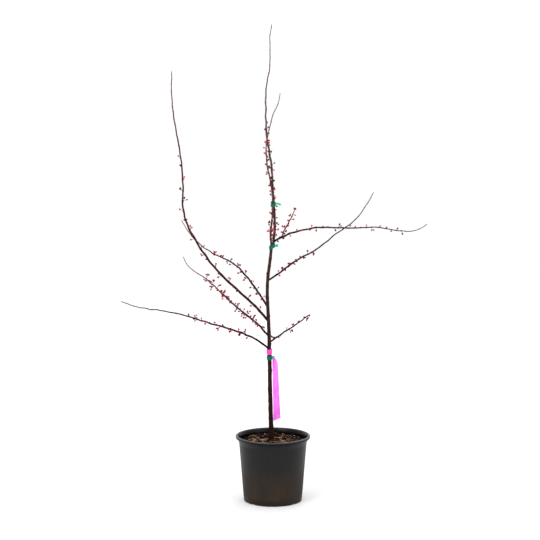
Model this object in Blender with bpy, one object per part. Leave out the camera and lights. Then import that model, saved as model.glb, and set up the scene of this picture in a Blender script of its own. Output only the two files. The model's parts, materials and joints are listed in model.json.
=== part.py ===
"""A young plum tree, bare but for its buds, in a round plastic nursery pot.

Metres, +Z up. The origin is the centre of the pot's flat underside. The tree spreads along X,
and its front faces -Y. The trunk stands on the potting mix, forks into a leader and a side
leader, and carries boughs that each follow one tapering line.
"""

import math
from typing import NamedTuple

import bmesh
import bpy
from mathutils import Matrix, Vector

GAP = 0.0003  # clearance kept between solids that touch

# Pot: a 3-gallon nursery container, 11 inches across its lip.
POT_HEIGHT = 0.2465
LIP_RADIUS = 0.1395
LIP_HEIGHT = 0.0115
LIP_WIDTH = 0.009
LIP_ROUNDING = 0.0035
COLLAR_HEIGHT = 0.014  # of the thicker part of the wall under the lip
COLLAR_STEP = 0.0022
POT_TOP_RADIUS = 0.1275  # outside of the wall, were it to run straight up to the lip
POT_BASE_RADIUS = 0.1085
POT_ROUNDING = 0.002  # of the edge between wall and underside
POT_WALL = 0.0022
POT_FLOOR = 0.003
POT_SIDES = 48
DRAINS = 4
DRAIN_WIDTH = 0.030
DRAIN_HEIGHT = 0.006
DRAIN_REACH = 0.015  # how far a drain arch runs in from the wall
DRAIN_SIDES = 64

MIX_TOP = 0.224  # level of the potting mix

# Limbs
RING_STEP = 0.025  # spacing of the rings along a limb
PATH_STEP = 0.002  # spacing of the points that a limb's line is worked out at
TRUNK_SIDES = 12
LIMB_SIDES = 8
FOOT_SWELL = 0.25  # how much thicker a bough is where it leaves its parent
FOOT_SWELL_LENGTH = 3  # in radii of the bough
ROOT_FLARE = 0.0045  # extra radius at the foot of the trunk
ROOT_FLARE_HEIGHT = 0.016
FORK_ROOM_RADIUS = 0.014
FORK_ROOM_DEPTH = 0.020

TRUNK_TAPER = 1.25  # over 1, a limb thins fastest near its foot
LIMB_TAPER = 0.9

# Tape wound round the trunk and the fork
TAPE = 0.0012  # thickness of a wound band
TAPE_SLACK = 0.0015  # between a band and the bark
TAPE_SIDES = 24
RIBBON_BAND_HEIGHT = 0.5590  # of the middle of the band
RIBBON_BAND_WIDTH = 0.020
LOWER_TIE_HEIGHT = 0.5382
LOWER_TIE_WIDTH = 0.019
FORK_TIE_CENTRE = Vector((-0.0032, -0.0003, 0.9522))
FORK_TIE_WIDTH = 0.017
FORK_TIE_RADIUS = 0.0095
FORK_TIE_SLANT = 0.45  # rise per metre towards +X
UPPER_TIE_HEIGHT = 1.1070
UPPER_TIE_WIDTH = 0.021

# The ribbon's loose tail, which hangs flat beside the trunk
TAIL_TOP = 0.5450
TAIL_LENGTH = 0.246
TAIL_GATHERED_WIDTH = 0.009  # at its top, where the tie gathers it
TAIL_OPEN_WIDTH = 0.0185  # where its pleats have let go
TAIL_OPEN_SHARE = 0.12  # share of its length where they have
TAIL_SPREAD = 0.0085  # how much wider still it grows by the bottom
TAIL_THICKNESS = 0.0010
TAIL_WAVE = 0.0020
TAIL_WAVES = 1.3
TAIL_DRIFT = 0.0040  # how far its near edge stands out from the trunk at the bottom
TAIL_END_SLANT = 0.012
TAIL_RIBS = 18

BARK = ((0.060, 0.028, 0.026), 0.62)
SHOOT_BARK = ((0.085, 0.045, 0.050), 0.5)
POT_PLASTIC = ((0.030, 0.030, 0.031), 0.45)
BARK_MIX = ((0.070, 0.040, 0.025), 0.95)
TIE_GREEN = ((0.004, 0.120, 0.075), 0.4)
RIBBON_PINK = ((0.900, 0.110, 0.600), 0.4)


class Limb(NamedTuple):
    """One tapering limb. It leaves its parent at a distance along it, in a vertical plane that
    faces `heading` (degrees from +X towards +Y). `rises` are its angles above the horizon at
    equal steps along it, where over 90 leans back past upright, and `veers` are its angles to
    the left of that plane."""

    name: str
    parent: str
    at: float
    heading: float
    length: float
    rises: tuple
    veers: tuple
    radius: float
    tip_radius: float


TRUNK_FOOT = Vector((-0.0062, 0.0, MIX_TOP + GAP))
TRUNK = Limb("trunk", "", 0, 180, 0.730, (90, 88, 89, 89, 89, 87, 88, 98, 95), (0,), 0.0090, 0.0055)

LIMBS = (
    Limb("leader", "trunk", 0.724, 180, 0.820,
         (110, 92, 87, 85, 89, 82, 79, 88, 89, 92, 103, 90, 89, 103),
         (-1.5, 0, 0.5, 0), 0.0046, 0.0016),
    Limb("side_leader", "trunk", 0.720, 180, 0.582,
         (84, 91, 99, 89, 85, 76, 83, 90, 104, 103, 119, 90),
         (4, 1, 0, 0, 0, 1), 0.0037, 0.0014),
    Limb("bough_right_arching", "leader", 0.020, -24, 0.614,
         (38, 19, 12, -1, 2, 6, -10, 2, 43), (0, 5, -4, 3), 0.0036, 0.0012),
    Limb("shoot_on_arching_bough", "bough_right_arching", 0.044, 20, 0.108,
         (74, 56, 68), (0,), 0.0022, 0.0016),
    Limb("bough_right_rising", "trunk", 0.602, 28, 0.566,
         (25, 33, 22, 36, 24, 47, 60), (4, -5, 6, 0), 0.0036, 0.0014),
    Limb("bough_right_short", "trunk", 0.373, 48, 0.221,
         (17, 21, 21, 19), (0, -6, 4), 0.0036, 0.0022),
    Limb("bough_left_low", "trunk", 0.345, 205, 0.623,
         (43, 25, 17, 21, 14, 10, 26), (0, -5, 6, -4), 0.0040, 0.0014),
    Limb("bough_left_budded", "trunk", 0.389, 155, 0.465,
         (56, 34, 31, 40, 39, 25, 69), (4, -6, 5, -3), 0.0038, 0.0012),
    Limb("bough_left_tall", "trunk", 0.450, 192, 1.038,
         (53, 42, 44, 55, 63, 93, 85, 79, 85, 93), (0, 3, -4, 4), 0.0048, 0.0016),
    Limb("bough_left_high", "trunk", 0.503, 135, 0.566,
         (44, 42, 36, 13, 21, 34, 48), (-4, 5, -5), 0.0039, 0.0012),
)
# A bough that bends round a wide gap is two solids, which meet this far along it.
SPLIT_AT = {"bough_left_tall": 0.47}
# Limbs that stand on the trunk's end, not on its side, and what each is cut to fit.
RESTS_ON = {"leader": ("fork",), "side_leader": ("fork", "leader")}
# Limbs that bear others, besides the trunk.
BEARERS = ("leader", "bough_right_arching")


def material(name, look):
    colour, roughness = look
    made = bpy.data.materials.new(name)
    made.use_nodes = True
    shader = made.node_tree.nodes["Principled BSDF"]
    shader.inputs["Base Color"].default_value = (*colour, 1)
    shader.inputs["Roughness"].default_value = roughness
    shader.inputs["Metallic"].default_value = 0
    return made


def add_object(name, bm, look):
    """Links a finished bmesh as an object with its own material, shaded smooth over gentle angles."""
    bmesh.ops.recalc_face_normals(bm, faces=bm.faces)
    mesh = bpy.data.meshes.new(name)
    bm.to_mesh(mesh)
    bm.free()
    mesh.shade_smooth()
    mesh.set_sharp_from_angle(angle=math.radians(35))
    mesh.materials.append(material(name, look))
    made = bpy.data.objects.new(name, mesh)
    bpy.context.scene.collection.objects.link(made)
    return made


def cut(target, cutter):
    """Takes the cutter's shape out of the target, and keeps the cutter as a hidden guide."""
    cutter.hide_render = True
    cutter.display_type = "WIRE"
    modifier = target.modifiers.new("cut", "BOOLEAN")
    modifier.operation = "DIFFERENCE"
    modifier.object = cutter


def between(values, share):
    """The value at a share of the way along a row of equally spaced values."""
    place = share * (len(values) - 1)
    low = min(int(place), max(len(values) - 2, 0))
    high = min(low + 1, len(values) - 1)
    return values[low] + (values[high] - values[low]) * (place - low)


def limb_line(limb, foot):
    """The limb's centreline: points a small step apart, each turned a little from the last."""
    heading = math.radians(limb.heading)
    outward = Vector((math.cos(heading), math.sin(heading), 0))
    sideways = Vector((-math.sin(heading), math.cos(heading), 0))
    count = max(2, round(limb.length / PATH_STEP))
    step = limb.length / count
    line = [foot.copy()]
    for i in range(count):
        share = (i + 0.5) / count
        rise = math.radians(between(limb.rises, share))
        veer = math.radians(between(limb.veers, share))
        along = outward * math.cos(rise) + Vector((0, 0, math.sin(rise)))
        line.append(line[-1] + step * (along * math.cos(veer) + sideways * math.sin(veer)))
    return line


def limb_radius(limb, share):
    """A steady taper, swollen at the foot, or into the root flare on the trunk."""
    taper, swell, fade = LIMB_TAPER, FOOT_SWELL * limb.radius, FOOT_SWELL_LENGTH * limb.radius
    if not limb.parent:
        taper, swell, fade = TRUNK_TAPER, ROOT_FLARE, ROOT_FLARE_HEIGHT
    radius = limb.tip_radius + (limb.radius - limb.tip_radius) * (1 - share) ** taper
    return radius + swell * math.exp(-share * limb.length / fade)


def place_on(line, share):
    """(point, direction) at a share of the way along a line."""
    place = share * (len(line) - 1)
    low = min(int(place), len(line) - 2)
    return line[low].lerp(line[low + 1], place - low), (line[low + 1] - line[low]).normalized()


def tube(places, radii, sides):
    """A closed round tube through (point, direction) places, flat at both ends. Each ring is
    turned as little as possible from the last."""
    bm = bmesh.new()
    side = places[0][1].orthogonal()
    rings = []
    for (point, direction), radius in zip(places, radii):
        side = (side - direction * side.dot(direction)).normalized()
        over = direction.cross(side)
        angles = [math.tau * k / sides for k in range(sides)]
        rings.append(
            [bm.verts.new(point + radius * (side * math.cos(a) + over * math.sin(a))) for a in angles]
        )
    for lower, upper in zip(rings, rings[1:]):
        for k in range(sides):
            n = (k + 1) % sides
            bm.faces.new((lower[k], lower[n], upper[n], upper[k]))
    bm.faces.new(rings[0][::-1])
    bm.faces.new(rings[-1])
    return bm


def limb_tube(limb, line, start=0.0, end=1.0, grow=0.0, sides=LIMB_SIDES):
    """The limb's solid between two shares of its length, with its radius grown by `grow`."""
    rings = max(3, round((end - start) * limb.length / RING_STEP) + 1)
    shares = [start + (end - start) * i / (rings - 1) for i in range(rings)]
    if not limb.parent:  # rings close together where the root flare curves
        shares = sorted(shares + [ROOT_FLARE_HEIGHT * k / limb.length for k in (0.35, 0.8)])
    places = [place_on(line, share) for share in shares]
    return tube(places, [limb_radius(limb, share) + grow for share in shares], sides)


def make_room(limb, line, sides):
    """A hidden copy of a limb, a gap larger all round, that cuts room for it in its neighbours."""
    return add_object(limb.name + "_room", limb_tube(limb, line, grow=GAP, sides=sides), BARK)


def make_fork_room(line):
    """A hidden wide disc whose face is a gap above the trunk's flat end, for the fork to rest on."""
    end, onward = place_on(line, 1)
    bottom, top = end - onward * FORK_ROOM_DEPTH, end + onward * GAP
    disc = tube([(bottom, onward), (top, onward)], [FORK_ROOM_RADIUS] * 2, TRUNK_SIDES)
    return add_object("fork_room", disc, BARK)


def make_tree():
    """The trunk and every limb on it. Returns each limb's line, by name."""
    trunk_line = limb_line(TRUNK, TRUNK_FOOT)
    lines = {"trunk": trunk_line}
    add_object("trunk", limb_tube(TRUNK, trunk_line, sides=TRUNK_SIDES), BARK)
    room = {"trunk": make_room(TRUNK, trunk_line, TRUNK_SIDES), "fork": make_fork_room(trunk_line)}
    limbs = {"trunk": TRUNK}
    for limb in LIMBS:
        foot, _ = place_on(lines[limb.parent], limb.at / limbs[limb.parent].length)
        line = limb_line(limb, foot)
        for part_name, start, end in stretches(limb):
            made = add_object(part_name, limb_tube(limb, line, start, end), SHOOT_BARK)
            for neighbour in RESTS_ON.get(limb.name, (limb.parent,)):
                cut(made, room[neighbour])
        lines[limb.name] = line
        limbs[limb.name] = limb
        if limb.name in BEARERS:
            room[limb.name] = make_room(limb, line, LIMB_SIDES)
    return lines


def stretches(limb):
    """(name, start, end) of each solid of a limb: one, or two that meet at its bend."""
    if limb.name not in SPLIT_AT:
        return [(limb.name, 0.0, 1.0)]
    split = SPLIT_AT[limb.name]
    joint = GAP / limb.length
    return [(limb.name + "_lower", 0.0, split), (limb.name + "_upper", split + joint, 1.0)]


def turned(profile, sides):
    """A closed profile of (radius, height) points, turned round the Z axis."""
    bm = bmesh.new()
    columns = []
    for k in range(sides):
        turn = Matrix.Rotation(math.tau * k / sides, 3, "Z")
        columns.append([bm.verts.new(turn @ Vector((r, 0, z))) for r, z in profile if r > 0])
    for k in range(sides):
        here, following = columns[k], columns[(k + 1) % sides]
        for i in range(len(here) - 1):
            bm.faces.new((here[i], following[i], following[i + 1], here[i + 1]))
    for end in (0, -1):
        bm.faces.new([column[end] for column in columns])
    return bm


def pot_radius(height):
    """Outside radius of the pot's tapering wall."""
    return POT_BASE_RADIUS + (POT_TOP_RADIUS - POT_BASE_RADIUS) * height / (POT_HEIGHT - LIP_HEIGHT)


def make_pot():
    """The tapering wall with its rolled lip, the collar under it and a flat floor, and a drain arch
    at each quarter."""
    under_lip = POT_HEIGHT - LIP_HEIGHT
    under_collar = under_lip - COLLAR_HEIGHT
    profile = [
        (POT_BASE_RADIUS - POT_ROUNDING, 0),
        (POT_BASE_RADIUS, POT_ROUNDING),
        (pot_radius(under_collar), under_collar),
        (POT_TOP_RADIUS + COLLAR_STEP, under_lip),
        (LIP_RADIUS - LIP_ROUNDING, under_lip),
        (LIP_RADIUS, under_lip + LIP_ROUNDING),
        (LIP_RADIUS, POT_HEIGHT - LIP_ROUNDING),
        (LIP_RADIUS - LIP_ROUNDING, POT_HEIGHT),
        (LIP_RADIUS - LIP_WIDTH, POT_HEIGHT),
        (POT_TOP_RADIUS - POT_WALL, under_lip),
        (pot_radius(POT_FLOOR) - POT_WALL, POT_FLOOR),
    ]
    pot = add_object("pot", turned(profile, POT_SIDES), POT_PLASTIC)
    arch = ((DRAIN_WIDTH / 2) ** 2 + DRAIN_HEIGHT**2) / (2 * DRAIN_HEIGHT)
    for k in range(DRAINS):
        bearing = math.tau * (k + 0.5) / DRAINS
        outward = Vector((math.cos(bearing), math.sin(bearing), 0))
        middle = outward * POT_BASE_RADIUS + Vector((0, 0, DRAIN_HEIGHT - arch))
        ends = [(middle + outward * along, outward) for along in (-DRAIN_REACH, DRAIN_REACH)]
        cut(pot, add_object(f"drain_{k}", tube(ends, [arch, arch], DRAIN_SIDES), POT_PLASTIC))


def make_potting_mix():
    """The fill of the pot, a gap clear of its wall and floor."""
    low, high = POT_FLOOR + GAP, MIX_TOP
    clear = POT_WALL + 2 * GAP
    profile = [(pot_radius(low) - clear, low), (pot_radius(high) - clear, high)]
    add_object("potting_mix", turned(profile, POT_SIDES), BARK_MIX)


def band(centre, inner, width, slant=0.0, spread=Vector((0, 0, 0))):
    """A wound band of tape round one stem, or round two that stand `spread` apart. It climbs by
    `slant` per metre towards +X."""
    bm = bmesh.new()
    loops = []
    for radius, level in ((inner, -0.5), (inner, 0.5), (inner + TAPE, 0.5), (inner + TAPE, -0.5)):
        loop = []
        for k in range(TAPE_SIDES):
            a = math.tau * (k + 0.5) / TAPE_SIDES
            way = Vector((math.cos(a), math.sin(a), 0))
            nearer = 0.5 if way.dot(spread) > 0 else -0.5
            climb = Vector((0, 0, slant * way.x * radius + level * width))
            loop.append(bm.verts.new(centre + way * radius + spread * nearer + climb))
        loops.append(loop)
    for here, following in zip(loops, loops[1:] + loops[:1]):
        for k in range(TAPE_SIDES):
            n = (k + 1) % TAPE_SIDES
            bm.faces.new((here[k], here[n], following[n], following[k]))
    return bm


def place_at_height(limb, line, height):
    """(point of the limb's line at a height, the limb's radius there)."""
    nearest = min(range(len(line)), key=lambda i: abs(line[i].z - height))
    return line[nearest], limb_radius(limb, nearest / (len(line) - 1))


def make_bands(lines):
    """The ribbon's band and the three green ties, each wound round the stems where it sits."""
    centre, radius = place_at_height(TRUNK, lines["trunk"], RIBBON_BAND_HEIGHT)
    add_object("ribbon_band", band(centre, radius + TAPE_SLACK, RIBBON_BAND_WIDTH), RIBBON_PINK)
    centre, radius = place_at_height(TRUNK, lines["trunk"], LOWER_TIE_HEIGHT)
    add_object("tie_lower", band(centre, radius + TAPE_SLACK, LOWER_TIE_WIDTH), TIE_GREEN)
    fork_tie = band(FORK_TIE_CENTRE, FORK_TIE_RADIUS, FORK_TIE_WIDTH, FORK_TIE_SLANT)
    add_object("tie_middle", fork_tie, TIE_GREEN)

    stems = {limb.name: limb for limb in LIMBS}
    places = [
        place_at_height(stems[name], lines[name], UPPER_TIE_HEIGHT) for name in ("leader", "side_leader")
    ]
    (one, one_radius), (other, other_radius) = places
    inner = max(one_radius, other_radius) + TAPE_SLACK
    upper_tie = band((one + other) / 2, inner, UPPER_TIE_WIDTH, spread=one - other)
    add_object("tie_upper", upper_tie, TIE_GREEN)


def make_ribbon_tail(lines):
    """The loose end of the ribbon: gathered at the lower tie, then open, flat and hanging free."""
    start, radius = place_at_height(TRUNK, lines["trunk"], TAIL_TOP)
    near_edge = start.x + radius + TAPE_SLACK + TAPE + 2 * GAP
    bm = bmesh.new()
    ribs = []
    for i in range(TAIL_RIBS):
        share = i / (TAIL_RIBS - 1)
        opened = min(1, share / TAIL_OPEN_SHARE)
        opened *= opened * (3 - 2 * opened)
        left = near_edge + TAIL_DRIFT * share
        unpleated = (TAIL_OPEN_WIDTH - TAIL_GATHERED_WIDTH) * opened
        right = left + TAIL_GATHERED_WIDTH + unpleated + TAIL_SPREAD * share
        front = TAIL_WAVE * math.sin(math.tau * TAIL_WAVES * share)
        z = TAIL_TOP - TAIL_LENGTH * share
        slant = TAIL_END_SLANT if i == TAIL_RIBS - 1 else 0
        corners = (
            (left, front, z),
            (left, front + TAIL_THICKNESS, z),
            (right, front + TAIL_THICKNESS, z + slant),
            (right, front, z + slant),
        )
        ribs.append([bm.verts.new(corner) for corner in corners])
    for upper, lower in zip(ribs, ribs[1:]):
        for k in range(4):
            n = (k + 1) % 4
            bm.faces.new((upper[k], upper[n], lower[n], lower[k]))
    bm.faces.new(ribs[0])
    bm.faces.new(ribs[-1])
    add_object("ribbon_tail", bm, RIBBON_PINK)


def main():
    for old in list(bpy.data.objects):
        bpy.data.objects.remove(old)
    make_pot()
    make_potting_mix()
    lines = make_tree()
    make_bands(lines)
    make_ribbon_tail(lines)


main()
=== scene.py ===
"""The looks of a young plum tree in a nursery pot, bare but for its swelling flower buds.

Every limb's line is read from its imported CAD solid, and the bark, knots, spurs and buds grow on
that line by seeded rules. The pot, its bark mix, the ties and the ribbon are built in their own
CAD solids' places. Metres, +Z up, front facing -Y.
"""

import heapq
import json
import math
import random
from typing import NamedTuple

import bmesh
import bpy
import numpy as np
from mathutils import Matrix, Vector

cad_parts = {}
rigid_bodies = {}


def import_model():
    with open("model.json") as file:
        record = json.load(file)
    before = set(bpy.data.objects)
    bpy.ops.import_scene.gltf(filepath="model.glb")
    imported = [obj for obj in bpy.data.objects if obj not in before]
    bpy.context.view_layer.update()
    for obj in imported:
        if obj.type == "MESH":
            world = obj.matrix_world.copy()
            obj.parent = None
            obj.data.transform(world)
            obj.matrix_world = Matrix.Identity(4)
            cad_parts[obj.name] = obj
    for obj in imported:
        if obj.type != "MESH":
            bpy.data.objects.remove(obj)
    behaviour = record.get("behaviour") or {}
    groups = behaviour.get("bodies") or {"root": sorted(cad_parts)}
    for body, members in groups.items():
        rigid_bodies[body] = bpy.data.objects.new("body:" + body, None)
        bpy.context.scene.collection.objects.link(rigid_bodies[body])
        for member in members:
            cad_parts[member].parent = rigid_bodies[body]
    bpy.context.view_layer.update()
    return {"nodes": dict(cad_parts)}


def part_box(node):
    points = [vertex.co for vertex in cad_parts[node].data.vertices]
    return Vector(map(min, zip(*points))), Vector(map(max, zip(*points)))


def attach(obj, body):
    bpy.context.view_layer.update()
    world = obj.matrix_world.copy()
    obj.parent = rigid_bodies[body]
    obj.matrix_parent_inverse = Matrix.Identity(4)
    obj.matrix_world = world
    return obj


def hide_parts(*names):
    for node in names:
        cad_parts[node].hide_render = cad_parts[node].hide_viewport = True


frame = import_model()

SEED = 7
UP = Vector((0, 0, 1))

# Reading a limb's line from its solid
RING_GAP = 0.004  # points further apart than this along a limb are on different rings
RING_REACH = 0.012  # points this near to a limb's tip are on its last ring
RING_SKEW = 0.003  # the most that one square ring's points differ by

# Bark
LINE_STEP = 0.0012
TRUNK_SIDES = 56
LIMB_SIDES = 18
FOOT_DEPTH = 0.006  # how far the trunk goes on down into the loose mix
TIP_ROUNDING = 1.6  # in radii
LENTICEL_HEIGHT = 0.00022
KINK = 0.0010  # how far a shoot steps aside at a bud
SWAY = 0.0006  # of the shoot's longer, gentler bends
SWAY_LENGTHS = (0.035, 0.090)
BEND_SOFTENING = 0.0045  # length over which a kink turns
KNOTS = ((0.155, 178), (0.095, 186), (0.276, -8), (0.335, -20), (0.245, 75), (0.19, -70))
KNOT_HEIGHT = 0.0013
KNOT_SIZE = 0.0024

# Buds
FLOWER_LENGTH = 0.0098
FLOWER_RADIUS = 0.0030
STALK_RADIUS = 0.00055
TRUNK_SPUR_RADIUS = 0.0012
LEAF_BUD_SPACING = 0.024
GOLDEN_TURN = math.radians(144)  # two turns in five buds, as on a plum

# Ties and ribbon
TAPE_THICKNESS = 0.0004
TAPE_COLUMNS = 7  # points across its width
END_HEADING = Vector((1, 0, 0.25)).normalized()  # of a tie's loose end, where it leaves
BAND_SIDES = 64  # steps in one turn of a wound tape
BAND_START = 0.4  # bearing of a wound tape's inner end, in radians
TAIL_ROWS = 150
TAIL_COLUMNS = 33
TAIL_SKIN = 0.00035

# Mix
CHIP_COUNT = 1500
GRAIN_COUNT = 70
FIBRE_COUNT = 26
CRUMB_SIZE = 0.0024

# Pot
LIP_HEIGHT = 0.0115
LIP_WIDTH = 0.009
COLLAR_HEIGHT = 0.014  # of the thicker part of the wall under the lip
COLLAR_STEP = 0.0022
POT_TOP_RADIUS = 0.1275
POT_BASE_RADIUS = 0.1085
POT_WALL = 0.0022
POT_FLOOR = 0.003
POT_SIDES = 192
RAMP_HEIGHT = 0.25  # height that the pot's colour ramps run over
DRAINS = 4
DRAIN_WIDTH = 0.030
DRAIN_HEIGHT = 0.006
DRAIN_REACH = 0.015
DRAIN_SIDES = 128

# Camera and light
CAMERA_AIM = Vector((-0.0108, 0, 0.866))
CAMERA_DISTANCE = 6.0  # level, from the trunk
CAMERA_HEIGHT = 1.574
CAMERA_LENS = 109.29
FLOOR_REACH = 200  # far enough that its edge stays out of sight
SKY_STRENGTH = 1.12


# --- Materials -------------------------------------------------------------------------------


def srgb(red, green, blue):
    """A colour given in 0 to 255 sRGB, as the linear colour that a shader takes."""
    shares = (red / 255, green / 255, blue / 255)
    return tuple(c / 12.92 if c < 0.04045 else ((c + 0.055) / 1.055) ** 2.4 for c in shares)


class Shading:
    """A new material and short ways to add the nodes that these materials use."""

    def __init__(self, name, roughness, specular=0.5):
        self.material = bpy.data.materials.new(name)
        self.material.use_nodes = True
        self.tree = self.material.node_tree
        self.shader = self.tree.nodes["Principled BSDF"]
        self.shader.inputs["Roughness"].default_value = roughness
        self.shader.inputs["Specular IOR Level"].default_value = specular

    def node(self, kind, **settings):
        made = self.tree.nodes.new("ShaderNode" + kind)
        for key, value in settings.items():
            setattr(made, key, value)
        return made

    def link(self, output, target):
        self.tree.links.new(output, target)

    def attribute(self, name):
        return self.node("Attribute", attribute_name=name)

    def place(self, scale=(1, 1, 1)):
        """The place in the row frame, stretched by scale."""
        mapping = self.node("Mapping")
        mapping.inputs["Scale"].default_value = scale
        self.link(self.node("TexCoord").outputs["Object"], mapping.inputs["Vector"])
        return mapping.outputs["Vector"]

    def height(self):
        """The height over the ground as a share of RAMP_HEIGHT."""
        split = self.node("SeparateXYZ")
        self.link(self.place(), split.inputs["Vector"])
        return self.maths("DIVIDE", split.outputs["Z"], RAMP_HEIGHT)

    def noise(self, vector, scale, detail=3.0, roughness=0.55):
        made = self.node("TexNoise")
        made.inputs["Scale"].default_value = scale
        made.inputs["Detail"].default_value = detail
        made.inputs["Roughness"].default_value = roughness
        self.link(vector, made.inputs["Vector"])
        return made.outputs["Fac"]

    def ramp(self, factor, *stops):
        """Stops are (place, value), where a value is a number or a colour."""
        made = self.node("ValToRGB")
        elements = made.color_ramp.elements
        while len(elements) < len(stops):
            elements.new(0.5)
        for element, (place, value) in zip(elements, stops):
            element.position = place
            element.color = (*value, 1) if isinstance(value, tuple) else (value, value, value, 1)
        self.link(factor, made.inputs["Fac"])
        return made.outputs["Color"]

    def mix(self, factor, one, other, blend="MIX"):
        """factor, one and other are each a socket or a plain value."""
        made = self.node("Mix", data_type="RGBA", blend_type=blend)
        inputs = [s for s in made.inputs if s.enabled]
        for socket, value in zip(inputs, (factor, one, other)):
            if isinstance(value, bpy.types.NodeSocket):
                self.link(value, socket)
            else:
                socket.default_value = (*value, 1) if isinstance(value, tuple) else value
        return next(s for s in made.outputs if s.enabled)

    def maths(self, operation, one, other):
        made = self.node("Math", operation=operation)
        for socket, value in zip(made.inputs, (one, other)):
            if isinstance(value, bpy.types.NodeSocket):
                self.link(value, socket)
            else:
                socket.default_value = value
        return made.outputs["Value"]

    def colour(self, socket):
        self.link(socket, self.shader.inputs["Base Color"])

    def roughness(self, socket):
        self.link(socket, self.shader.inputs["Roughness"])

    def bump(self, height, strength, distance):
        made = self.node("Bump")
        made.inputs["Strength"].default_value = strength
        made.inputs["Distance"].default_value = distance
        self.link(height, made.inputs["Height"])
        self.link(made.outputs["Normal"], self.shader.inputs["Normal"])


def plain_material(name, colour, roughness=0.5, specular=0.15):
    made = Shading(name, roughness, specular)
    made.shader.inputs["Base Color"].default_value = (*colour, 1)
    return made.material


def bark_material(name, dark, light, film, roughness):
    """Young bark: dark skin in long streaks and fine cracks, a pale papery film in patches,
    lenticels and scars where the mesh raises them, and more film towards the limb's tip."""
    made = Shading(name, roughness, 0.08)
    place = made.attribute("bark_place").outputs["Vector"]
    marks = made.node("SeparateColor")
    made.link(made.attribute("bark_marks").outputs["Color"], marks.inputs["Color"])
    lenticel, scar, age = (marks.outputs[i] for i in range(3))
    streaks = made.noise(place, 260, 4)
    skin = made.mix(made.ramp(streaks, (0.38, 0.0), (0.64, 1.0)), dark, light)
    patches = made.ramp(made.noise(place, 90, 5, 0.65), (0.5, 0.0), (0.7, 0.5))
    filmed = made.mix(made.maths("MAXIMUM", patches, age), skin, film)
    cracks = made.ramp(made.noise(place, 1100, 3, 0.6), (0.36, 0.45), (0.6, 1.0))
    cracked = made.mix(1.0, filmed, cracks, "MULTIPLY")
    pored = made.mix(lenticel, cracked, srgb(104, 82, 74))
    made.colour(made.mix(scar, pored, srgb(14, 7, 7)))
    made.roughness(made.ramp(streaks, (0.3, roughness - 0.1), (0.8, roughness + 0.12)))
    made.bump(made.noise(place, 900, 3, 0.6), 0.6, 0.0002)
    return made.material


def pot_material():
    """Black moulded plastic, scuffed and satin, with brown dust that gathers low on the wall, and a painted
    shadow on the collar under the lip.
    """
    made = Shading("pot_plastic", 0.5, 0.17)
    height = made.height()
    low = made.ramp(height, (0.06, 0.2), (0.11, 1.0), (0.34, 0.75), (0.55, 0.12), (0.8, 0.0))
    smudge = made.ramp(made.noise(made.place((1, 1, 0.45)), 34, 7, 0.68), (0.36, 0.30), (0.62, 1.0))
    dust = made.maths("MULTIPLY", made.maths("MULTIPLY", low, smudge), 0.85)
    plastic = made.mix(made.noise(made.place((1, 1, 0.5)), 120, 5, 0.7), srgb(10, 10, 11), srgb(26, 26, 26))
    dusty = made.mix(dust, plastic, srgb(54, 41, 29))
    scuffs = made.ramp(made.noise(made.place((1, 1, 0.12)), 420, 3, 0.7), (0.66, 0.0), (0.8, 0.4))
    scuffed = made.mix(scuffs, dusty, srgb(58, 57, 55))
    # Painted shadow: the collar just under the lip is turned near black, set by height.
    made.colour(made.mix(made.ramp(height, (0.905, 0.0), (0.93, 0.85)), scuffed, srgb(2, 2, 3)))
    made.roughness(made.ramp(dust, (0.0, 0.42), (0.6, 0.75)))
    made.bump(made.noise(made.place(), 1500, 2), 0.25, 0.00012)
    return made.material


def lip_material():
    """The lip and the inside: cleaner and glossier plastic, rubbed in places, with a painted highlight in a
    band along the top of the roll.
    """
    made = Shading("pot_lip", 0.3, 0.12)
    rubbed = made.ramp(made.noise(made.place((1, 1, 2.5)), 90, 5, 0.65), (0.54, 0.0), (0.76, 1.0))
    # Painted highlight: a lighter band round the top of the rolled lip, set by height.
    painted_highlight = made.ramp(made.height(), (0.966, 0.0), (0.979, 1.0), (0.99, 0.3))
    dark = made.mix(rubbed, srgb(3, 3, 6), srgb(30, 31, 38))
    made.colour(made.mix(painted_highlight, dark, srgb(66, 67, 72)))
    made.roughness(made.ramp(rubbed, (0.0, 0.24), (1.0, 0.5)))
    made.bump(made.noise(made.place(), 700, 3), 0.3, 0.0002)
    return made.material


def mix_material():
    """Dark damp fines between the bark chips."""
    made = Shading("mix_fines", 0.95, 0.1)
    grain = made.noise(made.place(), 420, 6, 0.7)
    made.colour(made.ramp(grain, (0.3, srgb(5, 4, 3)), (0.55, srgb(15, 10, 8)), (0.75, srgb(36, 25, 18))))
    made.bump(grain, 0.9, 0.002)
    return made.material


def tape_material(name, deep, bright, roughness, stretch):
    """Thin creased plastic tape. A stretch over 1 lays its creases level, and under 1 upright."""
    made = Shading(name, roughness, 0.14)
    crease = made.noise(made.place((1, 1, stretch)), 190, 2, 0.4)
    made.colour(made.mix(made.ramp(crease, (0.35, 0.0), (0.7, 1.0)), deep, bright))
    made.bump(crease, 0.3, 0.0008)
    return made.material


# --- Mesh making -----------------------------------------------------------------------------


def add_piece(name, verts, faces, materials, slot, face_materials=None, replaces=(), sharp=None):
    """Links a mesh as a smooth-shaded piece that rides on the plant's one body."""
    mesh = bpy.data.meshes.new(name)
    mesh.from_pydata([tuple(v) for v in verts], [], faces)
    for material in materials:
        mesh.materials.append(material)
    if face_materials is not None:
        mesh.polygons.foreach_set("material_index", np.asarray(face_materials, dtype=np.int32))
    mesh.validate()
    mesh.shade_smooth()
    if sharp is not None:
        mesh.set_sharp_from_angle(angle=math.radians(sharp))
    piece = bpy.data.objects.new(name, mesh)
    bpy.context.scene.collection.objects.link(piece)
    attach(piece, "root")
    if replaces:
        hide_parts(*replaces)
    return piece


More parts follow.
